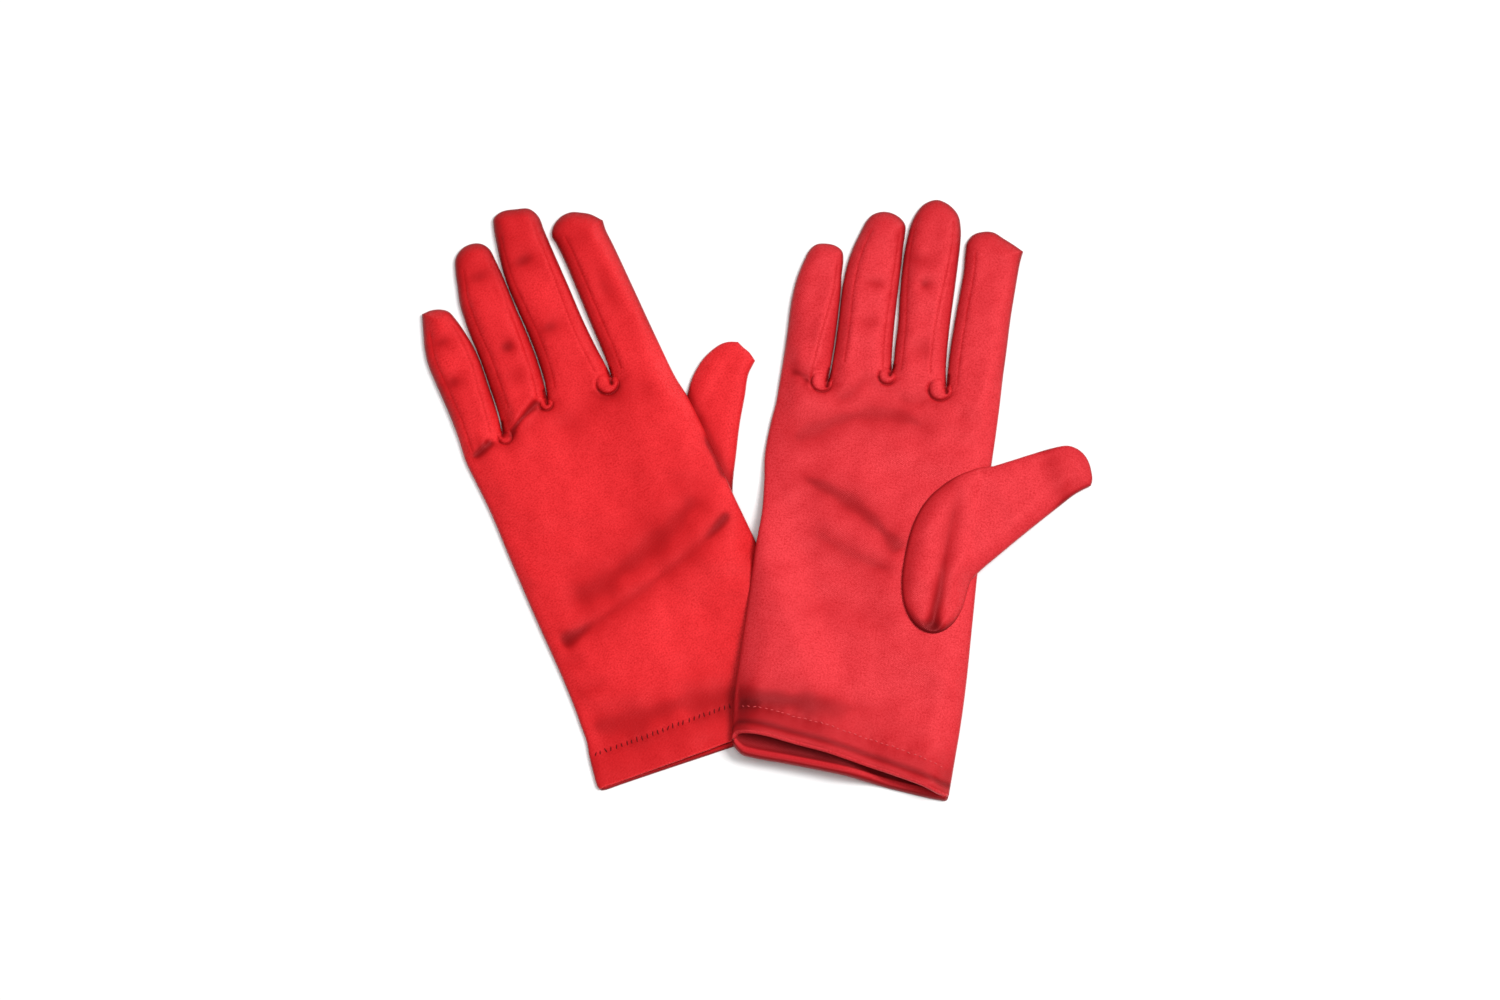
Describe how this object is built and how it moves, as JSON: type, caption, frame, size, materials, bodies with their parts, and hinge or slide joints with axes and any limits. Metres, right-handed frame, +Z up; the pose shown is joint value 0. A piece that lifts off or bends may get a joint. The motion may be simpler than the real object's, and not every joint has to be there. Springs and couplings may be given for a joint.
{
  "type": "pair of opera gloves",
  "caption": "Pair of short satin opera gloves with set-in thumbs and forks between the fingers, laid flat with one overlapping the other's cuff; each finger folds at its root.",
  "frame": {"origin": "centre of the pair's box in plan, on the table that the gloves lie on", "axes": "+X from the left glove towards the right one, +Y from the cuffs towards the fingertips, +Z up from the table"},
  "size_m": [0.2584, 0.2354, 0.021],
  "materials": {
    "satin": "red stretch satin, soft sheen",
    "lining": "matt reverse side of the satin",
    "thread": "matt sewing thread"
  },
  "bodies": {
    "left_hand": {"left_trank": "satin", "left_hem_facing": "lining", "left_hem_stitching": "thread", "left_side_seam": "thread", "left_thumb_seam": "thread", "left_fork_base_little_ring": "satin", "left_fork_base_ring_middle": "satin", "left_fork_base_middle_index": "satin", "left_thumb_base": "satin"},
    "left_thumb": {"left_thumb": "satin"},
    "left_little": {"left_little_finger": "satin", "left_little_fork_to_ring": "satin", "left_little_side_seam": "thread"},
    "left_ring": {"left_ring_finger": "satin", "left_ring_fork_to_little": "satin", "left_ring_fork_to_middle": "satin"},
    "left_middle": {"left_middle_finger": "satin", "left_middle_fork_to_ring": "satin", "left_middle_fork_to_index": "satin"},
    "left_index": {"left_index_finger": "satin", "left_index_fork_to_middle": "satin"},
    "right_hand": {"right_trank": "satin", "right_hem_facing": "lining", "right_hem_stitching": "thread", "right_side_seam": "thread", "right_thumb_seam": "thread", "right_fork_base_little_ring": "satin", "right_fork_base_ring_middle": "satin", "right_fork_base_middle_index": "satin", "right_thumb_base": "satin"},
    "right_thumb": {"right_thumb": "satin"},
    "right_little": {"right_little_finger": "satin", "right_little_fork_to_ring": "satin", "right_little_side_seam": "thread"},
    "right_ring": {"right_ring_finger": "satin", "right_ring_fork_to_little": "satin", "right_ring_fork_to_middle": "satin"},
    "right_middle": {"right_middle_finger": "satin", "right_middle_fork_to_ring": "satin", "right_middle_fork_to_index": "satin"},
    "right_index": {"right_index_finger": "satin", "right_index_fork_to_middle": "satin"}
  },
  "joints": [
    {"name": "right_glove_lift", "type": "slide", "parent": "left_hand", "child": "right_hand", "axis": [0, 0, 1], "range_m": [0, 0.12]},
    {"name": "left_little_fold", "type": "hinge", "parent": "left_hand", "child": "left_little", "pos_m": [-0.10934, 0.02708, 0.0089], "axis": [0.9337, 0.3581, 0], "range_deg": [0, 90]},
    {"name": "left_ring_fold", "type": "hinge", "parent": "left_hand", "child": "left_ring", "pos_m": [-0.09326, 0.03983, 0.0089], "axis": [0.9383, 0.3458, 0], "range_deg": [0, 90]},
    {"name": "left_middle_fold", "type": "hinge", "parent": "left_hand", "child": "left_middle", "pos_m": [-0.07232, 0.04983, 0.0089], "axis": [0.9256, 0.3785, 0], "range_deg": [0, 90]},
    {"name": "left_index_fold", "type": "hinge", "parent": "left_hand", "child": "left_index", "pos_m": [-0.04918, 0.05643, 0.00917], "axis": [0.9147, 0.4042, 0], "range_deg": [0, 90]},
    {"name": "left_thumb_fold", "type": "hinge", "parent": "left_hand", "child": "left_thumb", "pos_m": [-0.01826, 0.02755, 0.0041], "axis": [0.4115, -0.9114, 0], "range_deg": [0, 100]},
    {"name": "right_little_fold", "type": "hinge", "parent": "right_hand", "child": "right_little", "pos_m": [0.01844, 0.05129, 0.0089], "axis": [0.9896, -0.1437, 0], "range_deg": [0, 90]},
    {"name": "right_ring_fold", "type": "hinge", "parent": "right_hand", "child": "right_ring", "pos_m": [0.04024, 0.05563, 0.0089], "axis": [0.9898, -0.1423, 0], "range_deg": [0, 90]},
    {"name": "right_middle_fold", "type": "hinge", "parent": "right_hand", "child": "right_middle", "pos_m": [0.06227, 0.05288, 0.0089], "axis": [0.992, -0.1266, 0], "range_deg": [0, 90]},
    {"name": "right_index_fold", "type": "hinge", "parent": "right_hand", "child": "right_index", "pos_m": [0.0838, 0.04617, 0.0089], "axis": [0.9894, -0.1454, 0], "range_deg": [0, 90]},
    {"name": "right_thumb_fold", "type": "hinge", "parent": "right_hand", "child": "right_thumb", "pos_m": [0.09384, -0.0035, 0.0177], "axis": [-0.1236, -0.9923, 0], "range_deg": [0, 100]}
  ]
}
